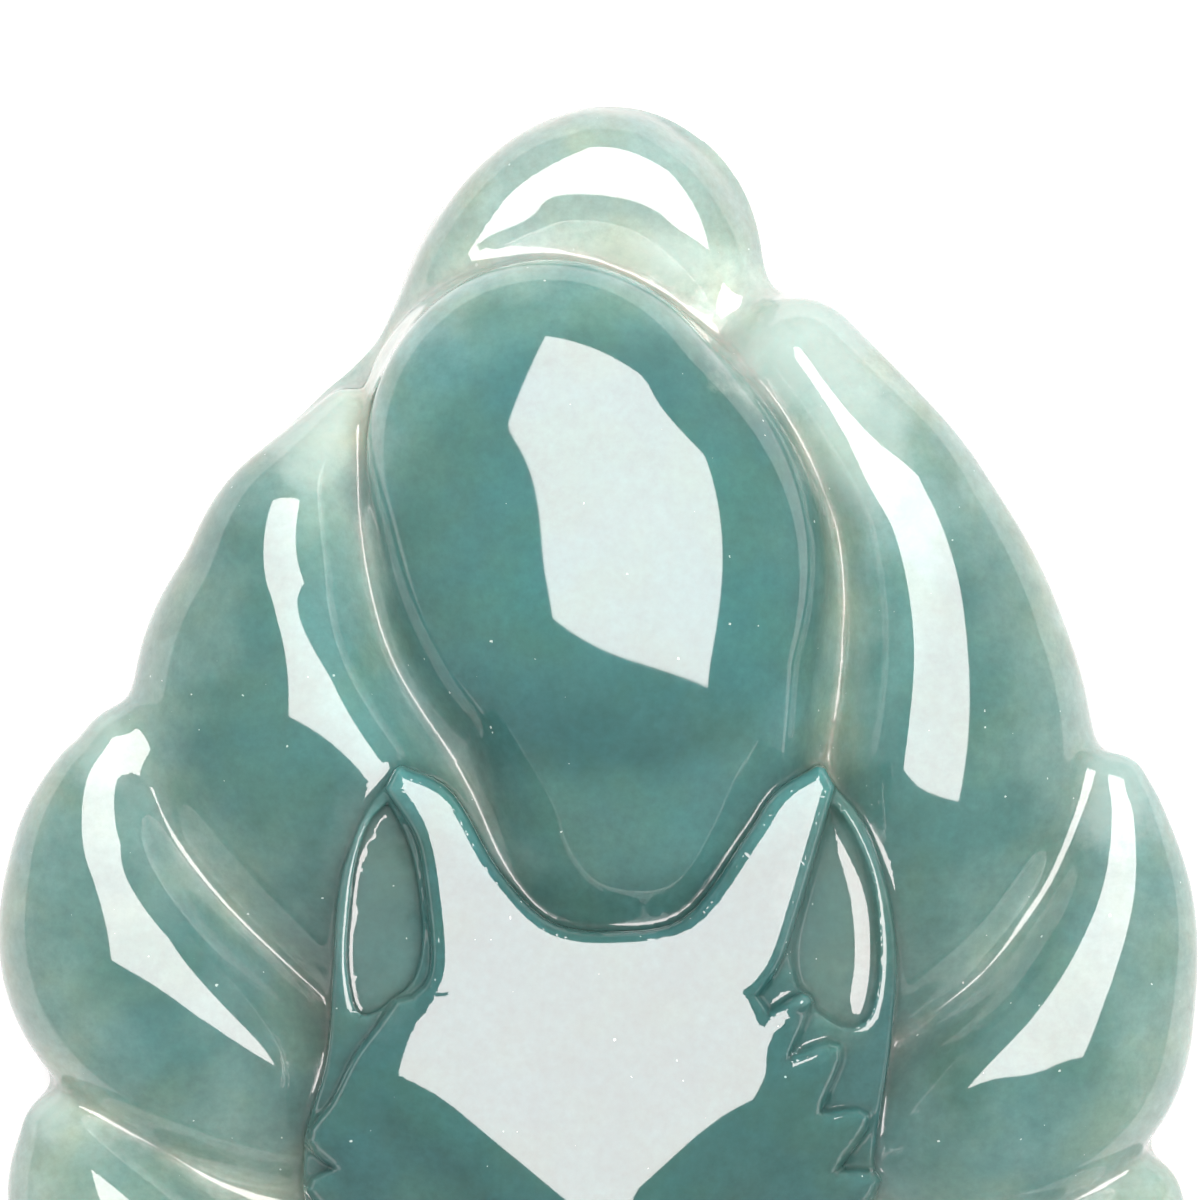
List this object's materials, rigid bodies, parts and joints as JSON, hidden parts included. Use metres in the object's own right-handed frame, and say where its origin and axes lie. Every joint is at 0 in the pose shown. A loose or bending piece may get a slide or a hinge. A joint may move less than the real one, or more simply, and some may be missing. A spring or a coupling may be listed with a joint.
{
  "type": "carved fox pendant",
  "caption": "Carved jadeite pendant: a fox's head with pricked ears in front of a fan of fat, overlapping, polished tails, on a flat back drilled for a cord.",
  "frame": {"origin": "middle of the flat back, on the surface that the pendant lies on", "axes": "+Z out of the back towards the carved face, +Y up the pendant to its hanging end, +X to the right seen from the front"},
  "size_m": [0.035, 0.0462, 0.0098],
  "materials": {
    "jadeite": "polished, translucent blue-green jadeite, paler where it is thin"
  },
  "bodies": {
    "root": {"fox_pendant": "jadeite"}
  },
  "joints": []
}
